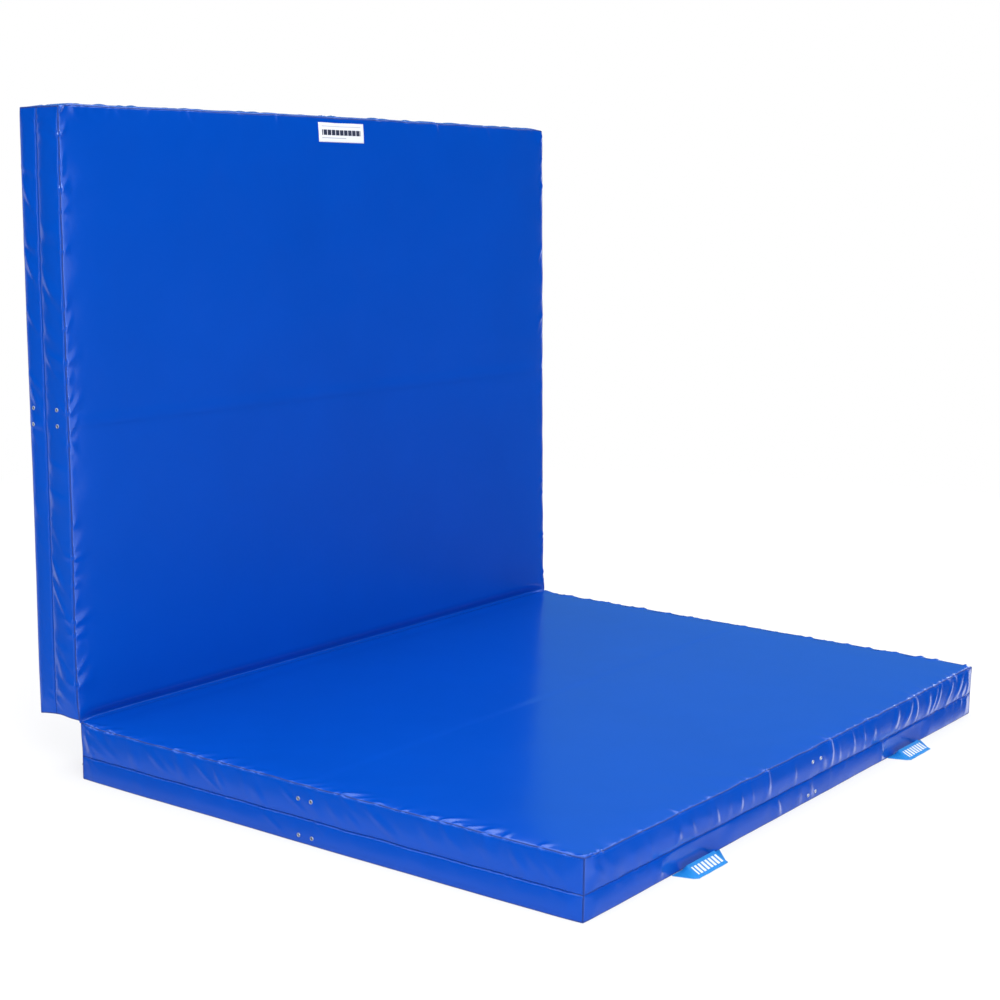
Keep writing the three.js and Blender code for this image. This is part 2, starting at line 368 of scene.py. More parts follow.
def newPiece(name, points, faces):
    mesh = bpy.data.meshes.new(name)
    mesh.vertices.add(len(points))
    mesh.vertices.foreach_set("co", np.asarray(points, np.float32).ravel())
    mesh.loops.add(faces.size)
    mesh.loops.foreach_set("vertex_index", faces.ravel().astype(np.int32))
    mesh.polygons.add(len(faces))
    starts = np.arange(0, faces.size, faces.shape[1], dtype=np.int32)
    mesh.polygons.foreach_set("loop_start", starts)
    mesh.update(calc_edges=True)
    mesh.validate()
    mesh.polygons.foreach_set("use_smooth", np.ones(len(mesh.polygons), bool))
    mesh.update()
    piece = bpy.data.objects.new(name, mesh)
    bpy.context.scene.collection.objects.link(piece)
    return piece


def gridFaces(rows, columns):
    ids = np.arange(rows * columns).reshape(rows, columns)
    return np.stack([ids[:-1, :-1], ids[1:, :-1], ids[1:, 1:], ids[:-1, 1:]], -1).reshape(-1, 4)


# A sheet from rows of points, turned to face outward; quads marked open are left out
def sheetMesh(name, points, rows, columns, outward, isOpen=None):
    quads = gridFaces(rows, columns)
    first, last = points[quads[:, 1]] - points[quads[:, 0]], points[quads[:, 3]] - points[quads[:, 0]]
    if float((np.cross(first, last) @ np.asarray(outward, float)).sum()) < 0:
        quads = quads[:, ::-1]
    if isOpen is not None:
        quads = quads[~isOpen]
    return newPiece(name, points, quads)


def setUv(piece, u, v):
    mesh = piece.data
    layer = mesh.uv_layers.new(name="flat")
    index = np.zeros(len(mesh.loops), np.int32)
    mesh.loops.foreach_get("vertex_index", index)
    layer.data.foreach_set("uv", np.stack([u[index], v[index]], 1).astype(np.float32).ravel())


def gridPiece(name, panel, face, aLine, bLine, rolls=(True, True, True, True), holes=(), lift=None):
    a, b = (g.ravel() for g in np.meshgrid(aLine, bLine, indexing="ij"))
    distance = np.full_like(a, 1.0)
    for use, gap in zip(rolls, (a - aLine[0], aLine[-1] - a, b - bLine[0], bLine[-1] - b)):
        if use:
            distance = np.minimum(distance, gap)
    sink = rolled(distance)
    if lift is not None:
        sink = sink - lift(a, b)
    points = toWorld(panel, coverPoint(panel, face, a, b, sink))
    isOpen = None
    if holes:
        quads = gridFaces(len(aLine), len(bLine))
        middleA, middleB = a[quads].mean(1), b[quads].mean(1)
        isOpen = np.zeros(len(quads), bool)
        for holeA, holeB in holes:
            farther = np.maximum(np.abs(middleA - holeA), np.abs(middleB - holeB))
            isOpen |= farther < vent["opening"]
    return sheetMesh(name, points, len(aLine), len(bLine), direction(panel, outwards[face]), isOpen)


# Geometry Nodes: each tree is made once, and its named inputs are set by their identifiers


def addNode(tree, kind, inputs=None, **settings):
    node = tree.nodes.new(kind)
    for key, value in settings.items():
        setattr(node, key, value)
    for key, value in (inputs or {}).items():
        if isinstance(value, bpy.types.NodeSocket):
            tree.links.new(value, node.inputs[key])
        else:
            node.inputs[key].default_value = value
    return node


def newTree(name, **sockets):
    tree = bpy.data.node_groups.new(name, "GeometryNodeTree")
    tree.interface.new_socket("Geometry", in_out="INPUT", socket_type="NodeSocketGeometry")
    for key, kind in sockets.items():
        tree.interface.new_socket(key, in_out="INPUT", socket_type="NodeSocket" + kind)
    tree.interface.new_socket("Geometry", in_out="OUTPUT", socket_type="NodeSocketGeometry")
    source = tree.nodes.new("NodeGroupInput")
    return tree, source.outputs


def closeTree(tree, geometry, material):
    realized = addNode(tree, "GeometryNodeRealizeInstances", {0: geometry})
    painted = addNode(tree, "GeometryNodeSetMaterial", {
        "Geometry": realized.outputs[0], "Material": material,
    })
    shaded = addNode(tree, "GeometryNodeSetShadeSmooth", {"Geometry": painted.outputs[0]})
    addNode(tree, "NodeGroupOutput", {0: shaded.outputs[0]})
    return tree


# Small rounded lozenges along a path: stitches, or the elements of a zip
def beadTree():
    tree, given = newTree(
        "beads along a path", Pitch="Float", Length="Float", Width="Float", Height="Float",
        Uneven="Float", Seed="Int", Material="Material",
    )
    path = addNode(tree, "GeometryNodeMeshToCurve", {"Mesh": given["Geometry"]})
    spaced = addNode(tree, "GeometryNodeResampleCurve", {"Curve": path.outputs[0]}, mode="LENGTH")
    tree.links.new(given["Pitch"], spaced.inputs["Length"])
    bead = addNode(tree, "GeometryNodeMeshUVSphere", {"Segments": 6, "Rings": 4, "Radius": 0.5})
    size = addNode(
        tree, "ShaderNodeCombineXYZ", {"X": given["Length"], "Y": given["Width"], "Z": given["Height"]}
    )
    shaped = addNode(tree, "GeometryNodeTransform", {"Geometry": bead.outputs[0], "Scale": size.outputs[0]})
    tangent = addNode(tree, "GeometryNodeInputTangent")
    turned = addNode(tree, "FunctionNodeAlignRotationToVector", {"Vector": tangent.outputs[0]}, axis="X")
    spread = addNode(tree, "FunctionNodeRandomValue", data_type="FLOAT")
    lower = addNode(tree, "ShaderNodeMath", {0: 1.0, 1: given["Uneven"]}, operation="SUBTRACT")
    tree.links.new(lower.outputs[0], spread.inputs[2])
    spread.inputs[3].default_value = 1.0
    tree.links.new(given["Seed"], spread.inputs["Seed"])
    placed = addNode(tree, "GeometryNodeInstanceOnPoints", {
        "Points": spaced.outputs[0], "Instance": shaped.outputs[0],
        "Rotation": turned.outputs[0], "Scale": spread.outputs[1],
    })
    return closeTree(tree, placed.outputs[0], given["Material"])


# A round cord of fabric along a path
def cordTree():
    tree, given = newTree("fabric cord along a path", Radius="Float", Sides="Int", Material="Material")
    path = addNode(tree, "GeometryNodeMeshToCurve", {"Mesh": given["Geometry"]})
    ring = addNode(
        tree, "GeometryNodeCurvePrimitiveCircle", {"Resolution": given["Sides"], "Radius": given["Radius"]}
    )
    tube = addNode(tree, "GeometryNodeCurveToMesh", {
        "Curve": path.outputs[0], "Profile Curve": ring.outputs[0], "Fill Caps": True,
    })
    return closeTree(tree, tube.outputs[0], given["Material"])


# One ring on each point, its axis along the point's own facing
def ringTree():
    tree, given = newTree("rings on points", Ring="Object", Material="Material")
    info = addNode(tree, "GeometryNodeObjectInfo", {"Object": given["Ring"]})
    facing = addNode(tree, "GeometryNodeInputNamedAttribute", {"Name": "facing"}, data_type="FLOAT_VECTOR")
    turned = addNode(tree, "FunctionNodeAlignRotationToVector", {"Vector": facing.outputs[0]}, axis="Z")
    points = addNode(tree, "GeometryNodeMeshToPoints", {"Mesh": given["Geometry"]})
    placed = addNode(tree, "GeometryNodeInstanceOnPoints", {
        "Points": points.outputs[0], "Instance": info.outputs["Geometry"], "Rotation": turned.outputs[0],
    })
    return closeTree(tree, placed.outputs[0], given["Material"])


# Runs a tree over a helper mesh and keeps the result as a plain mesh
def grown(name, points, edges, tree, facing=None, **values):
    helperMesh = bpy.data.meshes.new(name + "_path")
    helperMesh.from_pydata([tuple(p) for p in points], edges, [])
    if facing is not None:
        layer = helperMesh.attributes.new("facing", "FLOAT_VECTOR", "POINT")
        layer.data.foreach_set("vector", np.asarray(facing, np.float32).ravel())
    helper = bpy.data.objects.new(name + "_path", helperMesh)
    bpy.context.scene.collection.objects.link(helper)
    modifier = helper.modifiers.new("grow", "NODES")
    modifier.node_group = tree
    sockets = {s.name: s.identifier for s in tree.interface.items_tree if s.in_out == "INPUT"}
    for key, value in values.items():
        modifier[sockets[key]] = value
    bpy.context.view_layer.update()
    mesh = bpy.data.meshes.new_from_object(helper.evaluated_get(bpy.context.evaluated_depsgraph_get()))
    bpy.data.objects.remove(helper)
    mesh.name = name
    piece = bpy.data.objects.new(name, mesh)
    bpy.context.scene.collection.objects.link(piece)
    return piece


def joinedPaths(paths):
    points, edges = [], []
    for path in paths:
        first = len(points)
        points += [tuple(p) for p in path]
        edges += [(first + k, first + k + 1) for k in range(len(path) - 1)]
    return points, edges


# Materials


def principled(name, **values):
    material = bpy.data.materials.new(name)
    material.use_nodes = True
    shader = material.node_tree.nodes["Principled BSDF"]
    for key, value in values.items():
        shader.inputs[key].default_value = value
    return material, material.node_tree, shader


def noiseNode(tree, vector, scale, detail=3.0, rough=0.5):
    return addNode(tree, "ShaderNodeTexNoise", {
        "Vector": vector, "Scale": scale, "Detail": detail, "Roughness": rough,
    })


def ranged(tree, value, low, high):
    return addNode(tree, "ShaderNodeMapRange", {"Value": value, "To Min": low, "To Max": high}).outputs[0]


def mixColors(tree, amount, first, second):
    mix = addNode(tree, "ShaderNodeMix", data_type="RGBA")
    tree.links.new(amount, mix.inputs[0])
    for socket, value in ((mix.inputs[6], first), (mix.inputs[7], second)):
        if isinstance(value, bpy.types.NodeSocket):
            tree.links.new(value, socket)
        else:
            socket.default_value = (*value, 1)
    return mix.outputs[2]


def bumped(tree, shader, height, strength, distance, before=None):
    bump = addNode(tree, "ShaderNodeBump", {"Height": height, "Strength": strength, "Distance": distance})
    if before is not None:
        tree.links.new(before, bump.inputs["Normal"])
    tree.links.new(bump.outputs[0], shader.inputs["Normal"])
    return bump.outputs[0]


gloss = {"tint": (0.72, 0.86, 1.0, 1), "low": 0.15, "high": 0.24}


# Coated fabric: a smooth glossy skin with a fine grain and slight tone changes
def coatedFabric(name, color, low=gloss["low"], high=gloss["high"], grain=0.05):
    material, tree, shader = principled(name, **{"Specular Tint": gloss["tint"], "IOR": 1.55})
    place = addNode(tree, "ShaderNodeTexCoord").outputs["Object"]
    cloud = noiseNode(tree, place, 3.5, 3)
    darker = tuple(0.93 * c for c in color)
    tone = mixColors(tree, cloud.outputs["Fac"], darker, tuple(1.07 * c for c in color))
    tree.links.new(tone, shader.inputs["Base Color"])
    smudge = noiseNode(tree, place, 17, 6, 0.6)
    tree.links.new(ranged(tree, smudge.outputs["Fac"], low, high), shader.inputs["Roughness"])
    fine = noiseNode(tree, place, 900, 2)
    slow = noiseNode(tree, place, 38, 3)
    first = bumped(tree, shader, slow.outputs["Fac"], 0.10, 0.0016)
    bumped(tree, shader, fine.outputs["Fac"], grain, 0.0004, first)
    return material


# Underside: the same fabric with a raised grip pattern of small diamonds
def gripFabric(name, color):
    material, tree, shader = principled(name, Roughness=0.55, **{"Specular Tint": gloss["tint"]})
    place = addNode(tree, "ShaderNodeTexCoord").outputs["Object"]
    turnedPlace = addNode(tree, "ShaderNodeMapping", {"Vector": place})
    turnedPlace.inputs["Rotation"].default_value = (0, math.pi / 4, math.pi / 4)
    waves = []
    for axis in ("X", "Z"):
        waves.append(addNode(tree, "ShaderNodeTexWave", {
            "Vector": turnedPlace.outputs[0], "Scale": 62,
        }, bands_direction=axis).outputs["Fac"])
    product = addNode(tree, "ShaderNodeMath", {0: waves[0], 1: waves[1]}, operation="MULTIPLY")
    bumped(tree, shader, product.outputs[0], 0.5, 0.0006)
    tone = mixColors(tree, product.outputs[0], tuple(0.8 * c for c in color), color)
    tree.links.new(tone, shader.inputs["Base Color"])
    return material


def threadMaterial(name, color):
    material, tree, shader = principled(name, Roughness=0.5)
    place = addNode(tree, "ShaderNodeTexCoord").outputs["Object"]
    twist = noiseNode(tree, place, 1500, 1)
    tone = mixColors(tree, twist.outputs["Fac"], tuple(0.7 * c for c in color), color)
    tree.links.new(tone, shader.inputs["Base Color"])
    bumped(tree, shader, twist.outputs["Fac"], 0.4, 0.0003)
    return material


def eyeletMetal():
    material, tree, shader = principled("eyelet_metal", Metallic=1.0)
    place = addNode(tree, "ShaderNodeTexCoord").outputs["Object"]
    scratches = noiseNode(tree, place, 700, 3)
    tone = mixColors(tree, scratches.outputs["Fac"], (0.58, 0.60, 0.64), (0.74, 0.76, 0.80))
    tree.links.new(tone, shader.inputs["Base Color"])
    tree.links.new(ranged(tree, scratches.outputs["Fac"], 0.28, 0.42), shader.inputs["Roughness"])
    return material


def foamMaterial():
    material, tree, shader = principled("foam", Roughness=0.95)
    place = addNode(tree, "ShaderNodeTexCoord").outputs["Object"]
    cells = addNode(tree, "ShaderNodeTexVoronoi", {"Vector": place, "Scale": 420})
    tone = mixColors(tree, cells.outputs["Distance"], (0.72, 0.68, 0.52), (0.82, 0.78, 0.62))
    tree.links.new(tone, shader.inputs["Base Color"])
    bumped(tree, shader, cells.outputs["Distance"], 0.6, 0.0015)
    return material


def zipMaterial(name, color, rough, scale):
    material, tree, shader = principled(name)
    place = addNode(tree, "ShaderNodeTexCoord").outputs["Object"]
    ribs = addNode(tree, "ShaderNodeTexWave", {"Vector": place, "Scale": scale, "Distortion": 0.6})
    tone = mixColors(tree, ribs.outputs["Fac"], color, tuple(1.9 * c for c in color))
    tree.links.new(tone, shader.inputs["Base Color"])
    tree.links.new(ranged(tree, ribs.outputs["Fac"], rough, rough + 0.12), shader.inputs["Roughness"])
    bumped(tree, shader, ribs.outputs["Fac"], 0.3, 0.0003)
    return material


def maths(tree, operation, first, second=0.0):
    return addNode(tree, "ShaderNodeMath", {0: first, 1: second}, operation=operation).outputs[0]


# 1 between low and high, 0 outside
def within(tree, value, low, high):
    above = maths(tree, "GREATER_THAN", value, low)
    return maths(tree, "MULTIPLY", above, maths(tree, "LESS_THAN", value, high))


# Webbing: ribbed weave, with a row of plain slanting bars printed along the grip
def webbingMaterial():
    material, tree, shader = principled("handle_webbing", Roughness=0.55)
    flat = addNode(tree, "ShaderNodeTexCoord").outputs["UV"]
    split = addNode(tree, "ShaderNodeSeparateXYZ", {"Vector": flat})
    x, t = split.outputs["X"], split.outputs["Y"]
    slanted = maths(tree, "ADD", x, maths(tree, "MULTIPLY", t, 0.35))
    stripe = maths(tree, "FRACT", maths(tree, "MULTIPLY", slanted, 1 / strap["barPitch"]))
    bars = maths(tree, "MULTIPLY", within(tree, stripe, 0.0, 0.6), within(tree, t, 0.010, 0.036))
    bars = maths(tree, "MULTIPLY", bars, within(tree, slanted, -0.056, 0.052))
    waves = []
    for value, rate in ((x, 1 / 0.0016), (t, 1 / 0.0028)):
        turns = maths(tree, "MULTIPLY", value, rate * 2 * math.pi)
        waves.append(maths(tree, "SINE", turns))
    weave = maths(tree, "MULTIPLY", waves[0], waves[1])
    tone = mixColors(tree, ranged(tree, weave, 0, 1), (0.004, 0.23, 0.64), (0.007, 0.33, 0.80))
    tree.links.new(mixColors(tree, bars, tone, (0.86, 0.9, 0.93)), shader.inputs["Base Color"])
    bumped(tree, shader, weave, 0.5, 0.0004)
    return material


# Sewn-on label: white, with a plain dark bar and thin rules
def labelMaterial():
    material, tree, shader = principled("label", Roughness=0.42)
    flat = addNode(tree, "ShaderNodeTexCoord").outputs["UV"]
    split = addNode(tree, "ShaderNodeSeparateXYZ", {"Vector": flat})
    x, y = split.outputs["X"], split.outputs["Y"]
    color = (0.86, 0.88, 0.91)
    for spanX, spanY, ink in (
        ((0.07, 0.93), (0.36, 0.64), (0.012, 0.02, 0.05)),
        ((0.07, 0.60), (0.20, 0.235), (0.45, 0.48, 0.55)),
        ((0.07, 0.93), (0.80, 0.835), (0.55, 0.58, 0.64)),
    ):
        inside = maths(tree, "MULTIPLY", within(tree, x, *spanX), within(tree, y, *spanY))
        color = mixColors(tree, inside, color, ink)
    gap = within(tree, maths(tree, "FRACT", maths(tree, "MULTIPLY", x, 11.0)), 0.0, 0.14)
    middle = within(tree, y, 0.36, 0.64)
    color = mixColors(tree, maths(tree, "MULTIPLY", gap, middle), color, (0.86, 0.88, 0.91))
    tree.links.new(color, shader.inputs["Base Color"])
    place = addNode(tree, "ShaderNodeTexCoord").outputs["Object"]
    weave = noiseNode(tree, place, 1200, 2)
    bumped(tree, shader, weave.outputs["Fac"], 0.2, 0.0003)
    return material


strap = {
    "seamHalf": 0.104,
    "gapHalf": 0.065,
    "reach": 0.056,
    "width": 0.045,
    "outerHalf": 0.085,
    "skew": 0.55,  # the grip lies slightly askew: its far end sits this much closer in
    "cut": 0.009,
    "thick": 0.002,
    "barPitch": 0.0148,
    "lift": {"base": 0.013, "flap": 0.006},  # how far the grip's inner edge stands up
}
coverFabric = coatedFabric("cover_fabric", (0.0, 0.066, 0.47))
# The seam cord is the cover fabric at about half its brightness: painted shade for the dark line in each
# seam's groove
seamShadeFabric = coatedFabric("seam_fabric", (0.0, 0.030, 0.24), 0.5, 0.62)
undersideFabric = gripFabric("underside_fabric", (0.0, 0.05, 0.36))
coverThread = threadMaterial("cover_thread", (0.005, 0.11, 0.56))
labelThread = threadMaterial("label_thread", (0.7, 0.74, 0.8))
metal = eyeletMetal()
foamBody = foamMaterial()
zipTape = zipMaterial("zip_tape", (0.012, 0.012, 0.014), 0.7, 320)
zipTeeth = zipMaterial("zip_teeth", (0.02, 0.02, 0.022), 0.35, 90)
zipMetal = zipMaterial("zip_metal", (0.018, 0.018, 0.02), 0.28, 25)
webbing = webbingMaterial()
labelFabric = labelMaterial()
print("materials made")

# Panels


def finish(piece, material, body, slot, *nodes):
    if material and not piece.data.materials:
        piece.data.materials.append(material)
    if body:
        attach(piece, body)
    if nodes:
        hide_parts(*nodes)
    return piece


vent = {"opening": 0.0034, "bore": 0.0028, "flange": 0.0052, "rise": 0.0012, "deep": 0.0032, "segments": 24}


def ventPlaces(panel, side):
    places = []
    for k in range(1, 5):
        low, high = panelBox(panel, f"{panel}_vent_{side}_{k}")
        middle = (low + high) / 2
        places.append((middle[1] if side in ("left", "right") else middle[0], middle[2]))
    return places


# Foam: a block with soft edges that fills the cover
def foamBlock(panel):
    low, high = panelBox(panel, f"{panel}_foam_core")
    counts = [40, 30, 6]
    soft = 0.012
    faces, points = [], []
    for axis in range(3):
        first, second = [k for k in range(3) if k != axis]
        for end in (low[axis], high[axis]):
            a, b = np.meshgrid(
                np.linspace(low[first], high[first], counts[first] + 1),
                np.linspace(low[second], high[second], counts[second] + 1), indexing="ij",
            )
            side = np.zeros((a.size, 3))
            side[:, first], side[:, second], side[:, axis] = a.ravel(), b.ravel(), end
            quads = gridFaces(counts[first] + 1, counts[second] + 1)
            normal = np.cross(side[quads[0, 1]] - side[quads[0, 0]], side[quads[0, 3]] - side[quads[0, 0]])
            if (normal[axis] > 0) != (end == high[axis]):
                quads = quads[:, ::-1]
            faces.append(quads + sum(len(p) for p in points))
            points.append(side)
    points, faces = np.concatenate(points), np.concatenate(faces)
    unique, index = np.unique(points.round(6), axis=0, return_inverse=True)
    faces = index.ravel()[faces]
    inner = np.clip(unique, low + soft, high - soft)
    away = unique - inner
    size = np.linalg.norm(away, axis=1, keepdims=True)
    shaped = inner + away / np.maximum(size, 1e-9) * np.minimum(size, soft)
    if panel == "base":
        faces = faces[:, ::-1]
    return newPiece(f"{panel}_foam_block", toWorld(panel, shaped), faces)


def lapLift(a, b):
    return cover["lap"] * (1 - smooth((b - weldLine) / 0.03))


xLine = graded(-half, half, cover["step"])
for panel in panels:
    foam = finish(foamBlock(panel), foamBody, panel, "foam", f"{panel}_foam_core")
    vAll = graded(0.0, length, cover["step"])
    vOuter = graded(weldLine - 0.008, length, cover["step"], (False, True))
    outer = gridPiece(
        f"{panel}_landing_sheet", panel, "top", xLine, vOuter, (True, True, False, True), lift=lapLift
    )
    finish(outer, coverFabric, panel, "cover_fabric", f"{panel}_top_sheet_outer")
    coarse = graded(-half, half, 0.02), graded(0, length, 0.02)
    under = gridPiece(f"{panel}_underside", panel, "underside", *coarse)
    finish(under, undersideFabric, panel, "underside_fabric", f"{panel}_bottom_sheet")
    for side in walls:
        line = vAll if side in ("left", "right") else xLine
        places = [] if side == "hinge" else ventPlaces(panel, side)
        if places:
            edges = sorted({round(a + k * vent["opening"], 6) for a, _ in places for k in (-1, 1)})
            line = withCuts(line, edges)
        for level, low, high in (("lower", 0.0, seamHeight), ("upper", seamHeight, thick)):
            node = f"{panel}_{level}_band_{side}"
            if side == "hinge":
                nodeLow, nodeHigh = panelBox(panel, node)
                low = low if level == "lower" else nodeLow[2]
                high = high if level == "upper" else nodeHigh[2]
            rows = graded(low, high, 0.005)
            holes = [(a, b) for a, b in places if low < b < high]
            if holes:
                cuts = sorted({round(b + k * vent["opening"], 6) for _, b in holes for k in (-1, 1)})
                rows = withCuts(rows, cuts)
            band = gridPiece(f"{node}_cover", panel, side, line, rows, holes=holes)
            finish(band, coverFabric, panel, "cover_fabric", node)
print("panels covered")


# One width of fabric runs over both panels' inner halves and is the fold
def foldSheet():
    vLine = graded(0.0, weldLine, 0.0062, (False, False))
    vLine = np.array(sorted({*vLine, 0.002, 0.0045, 0.010, 0.0135}))
    x = graded(-half, half, 0.0066)
    sideGap = half - np.abs(x)
    rows = {}
    for panel in panels:
        rows[panel] = []
        for v in vLine:
            row = coverPoint(panel, "top", x, np.full_like(x, v), rolled(sideGap))
            rows[panel].append(toWorld(panel, row))
    first, last = rows["base"][0], rows["flap"][0]
    steps = 9
    between = []
    for k in range(1, steps):
        t = k / steps
        row = first * (1 - t) + last * t
        row[:, 2] -= 0.0035 * math.sin(math.pi * t)
        between.append(row)
    allRows = rows["base"][::-1] + between + rows["flap"]
    points = np.concatenate(allRows)
    return sheetMesh("fold_sheet", points, len(allRows), len(x), (0, -1, 1))


foldPiece = finish(
    foldSheet(), coverFabric, None, "cover_fabric", "base_top_sheet_inner", "flap_top_sheet_inner"
)
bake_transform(foldPiece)
print("fold made")

# Seams: a cord of the turned-in fabric fills each seam, coloured darker than the cover as painted shade in
# the seam's groove, and rows of stitches run beside it

seam = {
    "cordRadius": 0.0021,
    "sink": 0.0018,  # how deep the cord lies in an edge
    "middleSink": 0.0034,
    "pathStep": 0.008,
    "pitch": 0.0065,
    "stitch": 0.0042,
    "thread": 0.0009,
    "inset": 0.0045,  # from the seam to its row of stitches
}


def aroundPath(panel, level, inward):
    step = seam["pathStep"]
    h, n, f = half - inward, inward, length - inward
    xs = np.arange(-h, h, step)
    vs = np.arange(n, f, step)
    left = [(-h, v) for v in vs]
    free = [(x, f) for x in xs]
    right = [(h, v) for v in vs[::-1]]
    hinge = [(x, n) for x in xs[::-1]]
    ring = np.array(left + free + right + hinge + left[:1])
    x, v = ring.T
    w = np.full_like(x, level)
    return toWorld(panel, np.stack(warp(panel, x, v, w), 1))


# The same, but without the hinge side
def openPath(panel, level, inward):
    step = seam["pathStep"]
    alongSide = len(np.arange(inward, length - inward, step))
    alongFree = len(np.arange(inward - half, half - inward, step))
    return aroundPath(panel, level, inward)[: 2 * alongSide + alongFree]


def cornerPath(panel, signX, free):
    w = np.linspace(0.003, thick - 0.003, 24)
    x = np.full_like(w, signX * (half - seam["sink"]))
    v = np.full_like(w, length - seam["sink"] if free else seam["sink"])
    return toWorld(panel, np.stack(warp(panel, x, v, w), 1))


def wallStitches(panel, side, w):
    start, end = reachOf(side)
    u = np.arange(start + 0.012, end - 0.012, 0.005)
    return toWorld(panel, coverPoint(panel, side, u, np.full_like(u, w), -0.0001))


beads = beadTree()
cords = cordTree()
for panel in panels:
    paths = [
        openPath(panel, thick - seam["sink"], seam["sink"]),
        openPath(panel, seamHeight, seam["middleSink"]),
        aroundPath(panel, 0.0022, seam["sink"]),
    ]
    paths += [cornerPath(panel, signX, free) for signX in (-1, 1) for free in (False, True)]
    # The cord takes the darker seam colour: painted shade along every seam
    lining = grown(
        f"{panel}_seam_lining", *joinedPaths(paths), cords,
        Radius=seam["cordRadius"], Sides=8, Material=seamShadeFabric,
    )
    finish(lining, seamShadeFabric, panel, "cover_fabric")
    rows = []
    for side in ("left", "free", "right"):
        rows.append(wallStitches(panel, side, seamHeight + seam["inset"]))
        rows.append(wallStitches(panel, side, thick - seam["inset"]))
    stitches = grown(
        f"{panel}_seam_stitches", *joinedPaths(rows), beads,
        Pitch=seam["pitch"], Length=seam["stitch"], Width=seam["thread"], Height=seam["thread"],
        Uneven=0.15, Seed=seeds[panel], Material=coverThread,
    )
    finish(stitches, coverThread, panel, "cover_fabric")
print("seams sewn")


# Eyelets: a rolled ring with a barrel, set square to the bowed wall
def eyeletRing():
    bore, flange, rise, deep = vent["bore"], vent["flange"], vent["rise"], vent["deep"]
    profile = [(bore, -deep), (bore, 0.0002)]
    for k in range(1, 8):
        angle = math.pi - math.pi * k / 8
        middle, radius = (bore + flange) / 2, (flange - bore) / 2
        profile.append((middle + radius * math.cos(angle), rise * math.sin(angle) * 0.9 + 0.0002))
    wall = 0.0006  # the metal's thickness
    profile += [(flange, -0.0003), (flange - wall, -wall), (bore + wall, -wall), (bore + wall, -deep)]
    rows, columns = len(profile), vent["segments"]
    points = []
    for radius, height in profile:
        for k in range(columns):
            a = 2 * math.pi * k / columns
            points.append((radius * math.cos(a), radius * math.sin(a), height))
    ids = np.arange(rows * columns).reshape(rows, columns)
    right = np.roll(ids, -1, axis=1)
    below = np.roll(ids, -1, axis=0)
    faces = np.stack([ids, right, np.roll(right, -1, axis=0), below], -1).reshape(-1, 4)
    return newPiece("eyelet_ring", np.array(points), faces)


ring = eyeletRing()
rings = ringTree()
for panel in panels:
    places, facings, nodes = [], [], []
    for side in ("left", "right", "free"):
        nodes += [f"{panel}_vent_{side}_{k}" for k in range(1, 5)]
        for a, b in ventPlaces(panel, side):
            spots = toWorld(panel, coverPoint(
                panel, side, a + 0.006 * np.array([0, 1, 0, -1, 0]), b + 0.006 * np.array([0, 0, 1, 0, -1])
            ))
            normal = np.cross(spots[1] - spots[3], spots[2] - spots[4])
            normal /= np.linalg.norm(normal)
            if normal @ direction(panel, outwards[side]) < 0:
                normal = -normal
            places.append(spots[1:].mean(0) + 0.0003 * normal)
            facings.append(normal)
    eyelets = grown(f"{panel}_eyelets", places, [], rings, facing=facings, Ring=ring, Material=metal)
    finish(eyelets, metal, panel, "vent_metal", *nodes)
bpy.data.objects.remove(ring)
print("eyelets set")

# Zips: tape behind the slot, a closed coil, and the slider with its hanging pull

zipSize = {
    "pitch": 0.0021,
    "tooth": (0.0013, 0.0016, 0.0058),
    "lean": {"base": 32, "flap": -16},  # how far the pull hangs away from its wall, in degrees
    "stand": {"base": 0.0, "flap": 0.0025},  # how far off its post the pull lies when pressed flat
    "soft": 0.0004,
}


def zipStrip(panel):
    low, high = panelBox(panel, f"{panel}_zip")
    tapeFront = high[1] - 0.001
    x = np.linspace(low[0], high[0], 260)
    w = np.linspace(low[2], high[2], 9)
    a, b = (g.ravel() for g in np.meshgrid(x, w, indexing="ij"))
    sag = 0.0002 * np.sin(a * 41) * np.cos(b * 260)
    points = np.stack([a, np.full_like(a, tapeFront) + sag, b], 1)
    outward = direction(panel, outwards["hinge"])
    tape = sheetMesh(f"{panel}_zip_tape", toWorld(panel, points), len(x), len(w), outward)
    tape.modifiers.new("thickness", "SOLIDIFY").thickness = 0.0008
    middle = (low[2] + high[2]) / 2
    path = [(k, tapeFront - 0.0006, middle) for k in np.linspace(low[0] + 0.002, high[0] - 0.002, 400)]
    teeth = grown(
        f"{panel}_zip_teeth", *joinedPaths([path]), beads, Pitch=zipSize["pitch"],
        Length=zipSize["tooth"][0], Width=zipSize["tooth"][1], Height=zipSize["tooth"][2],
        Uneven=0.0, Seed=1, Material=zipTeeth,
    )
    moveMesh(teeth, panel)
    return tape, teeth


# Takes a mesh made in a panel's own directions to its place
def moveMesh(piece, panel):
    mesh = piece.data
    points = np.zeros(len(mesh.vertices) * 3, np.float32)
    mesh.vertices.foreach_get("co", points)
    mesh.vertices.foreach_set("co", toWorld(panel, points.reshape(-1, 3)).astype(np.float32).ravel())
    if panel == "base":
        mesh.flip_normals()
    mesh.update()


# A CAD piece with its edges softened; lean turns it about a line along the wall
def softened(node, name, body, material, slot, bevel, pivot=None, lean=0.0):
    source = frame["nodes"][node].data
    points, index = np.unique(
        np.array([corner.co for corner in source.vertices]).round(7), axis=0, return_inverse=True
    )
    index = index.ravel()
    faces = np.array([[index[k] for k in face.vertices] for face in source.polygons])
    piece = newPiece(name, points, faces)
    if pivot is not None:
        there, back = Matrix.Translation(pivot), Matrix.Translation(-Vector(pivot))
        piece.data.transform(there @ Matrix.Rotation(lean, 4, "X") @ back)
    edge = piece.modifiers.new("soft edges", "BEVEL")
    edge.width = bevel
    edge.segments = 3
    edge.limit_method = "ANGLE"
    edge.angle_limit = math.radians(40)
    piece.data.set_sharp_from_angle(angle=math.radians(40))
    return finish(piece, material, body, slot, node)


